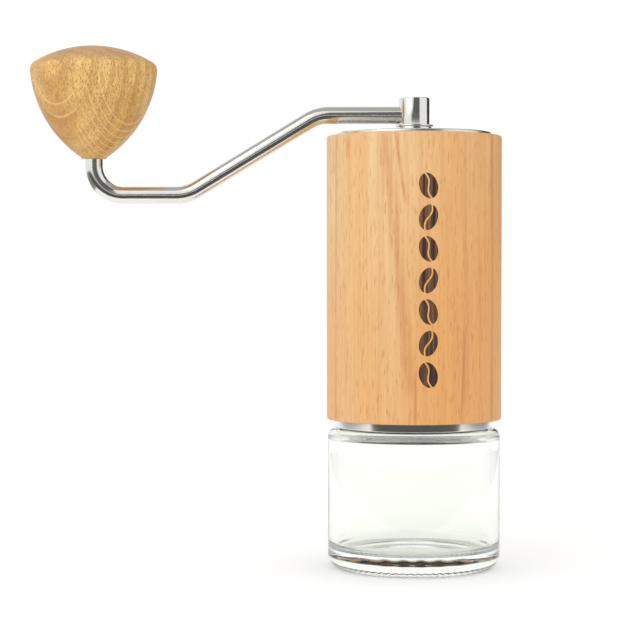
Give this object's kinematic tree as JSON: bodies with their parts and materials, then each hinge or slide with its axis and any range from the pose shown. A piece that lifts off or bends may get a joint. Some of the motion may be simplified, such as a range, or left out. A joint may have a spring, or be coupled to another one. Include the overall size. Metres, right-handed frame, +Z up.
{
  "type": "hand crank coffee grinder",
  "caption": "Slim cylindrical hand coffee grinder: wood-clad steel body, screw-on glass jar below, flush steel lid, stepped rod crank beside the body with a turned wooden knob.",
  "frame": {"origin": "centre of the jar's foot, on the axis of the body, on the surface it stands on", "axes": "+Z up along the body and the axle, -X along the crank to the knob as stored, +Y across"},
  "size_m": [0.1617, 0.06, 0.179],
  "materials": {
    "cherry": "oiled, satin",
    "oak": "oiled, satin",
    "polished_steel": "polished",
    "brushed_steel": "brushed",
    "ground_steel": "ground",
    "burr_steel": "machined",
    "spring_steel": "blued",
    "brass": "turned",
    "glass": "clear, polished",
    "silicone": "matte",
    "frame_polymer": "moulded, fine texture",
    "dial_polymer": "moulded"
  },
  "bodies": {
    "housing": {"wood_sleeve": "cherry", "steel_tube": "polished_steel", "upper_bridge": "frame_polymer", "burr_frame": "frame_polymer", "ring_burr": "burr_steel", "ring_burr_screws": "ground_steel", "upper_bearing_outer": "ground_steel", "lower_bearing_outer": "ground_steel", "upper_bearing_clip": "spring_steel", "lower_bearing_clip": "spring_steel"},
    "lid_group": {"lid": "brushed_steel", "lid_bush": "polished_steel", "lid_ring": "silicone"},
    "crank": {"crank_hub": "polished_steel", "crank_arm": "polished_steel", "crank_washer": "polished_steel", "crank_clip": "spring_steel", "knob_clip": "spring_steel"},
    "knob_group": {"knob": "oak", "knob_bush": "brass"},
    "axle_group": {"axle": "ground_steel", "axle_clips": "spring_steel", "drive_pin": "ground_steel", "upper_bearing_inner": "ground_steel", "lower_bearing_inner": "ground_steel", "spring_washer": "ground_steel"},
    "inner_burr": {"cone_burr": "burr_steel", "click_plate": "burr_steel", "burr_spring": "spring_steel"},
    "dial_group": {"dial": "dial_polymer", "dial_insert": "brass", "detent_balls": "ground_steel", "detent_springs": "spring_steel"},
    "upper_cage": {"upper_bearing_cage": "brass", "upper_bearing_balls": "ground_steel"},
    "lower_cage": {"lower_bearing_cage": "brass", "lower_bearing_balls": "ground_steel"},
    "seal": {"jar_seal": "silicone"},
    "jar": {"jar_glass": "glass"}
  },
  "joints": [
    {"name": "lid_lift", "type": "slide", "parent": "housing", "child": "lid_group", "axis": [0, 0, 1], "range_m": [0, 0.02]},
    {"name": "crank_turn", "type": "hinge", "parent": "lid_group", "child": "crank", "pos_m": [0, 0, 0.15], "axis": [0, 0, 1], "continuous": true},
    {"name": "knob_spin", "type": "hinge", "parent": "crank", "child": "knob_group", "pos_m": [-0.11, 0, 0.15], "axis": [0, 0, 1], "continuous": true},
    {"name": "axle_turn", "type": "hinge", "parent": "housing", "child": "axle_group", "pos_m": [0, 0, 0.12], "axis": [0, 0, 1], "continuous": true},
    {"name": "burr_lift", "type": "slide", "parent": "axle_group", "child": "inner_burr", "axis": [0, 0, 1], "range_m": [-0.00035, 0.00088], "deforming": ["burr_spring"]},
    {"name": "dial_turn", "type": "hinge", "parent": "inner_burr", "child": "dial_group", "pos_m": [0, 0, 0.058], "axis": [0, 0, 1], "range_deg": [-360, 900]},
    {"name": "upper_cage_turn", "type": "hinge", "parent": "housing", "child": "upper_cage", "pos_m": [0, 0, 0.1205], "axis": [0, 0, 1], "continuous": true},
    {"name": "lower_cage_turn", "type": "hinge", "parent": "housing", "child": "lower_cage", "pos_m": [0, 0, 0.0925], "axis": [0, 0, 1], "continuous": true},
    {"name": "jar_drop", "type": "slide", "parent": "housing", "child": "seal", "axis": [0, 0, -1], "range_m": [0, 0.012]},
    {"name": "jar_turn", "type": "hinge", "parent": "seal", "child": "jar", "pos_m": [0, 0, 0.05], "axis": [0, 0, -1], "range_deg": [0, 1080]}
  ],
  "couplings": [
    {"joint": "axle_turn", "follows": "crank_turn", "ratio": 1},
    {"joint": "upper_cage_turn", "follows": "crank_turn", "ratio": 0.4042},
    {"joint": "lower_cage_turn", "follows": "crank_turn", "ratio": 0.4042},
    {"joint": "dial_turn", "follows": "burr_lift", "rad_per_m": 17952},
    {"joint": "jar_drop", "follows": "jar_turn", "m_per_rad": 0.00063662}
  ]
}
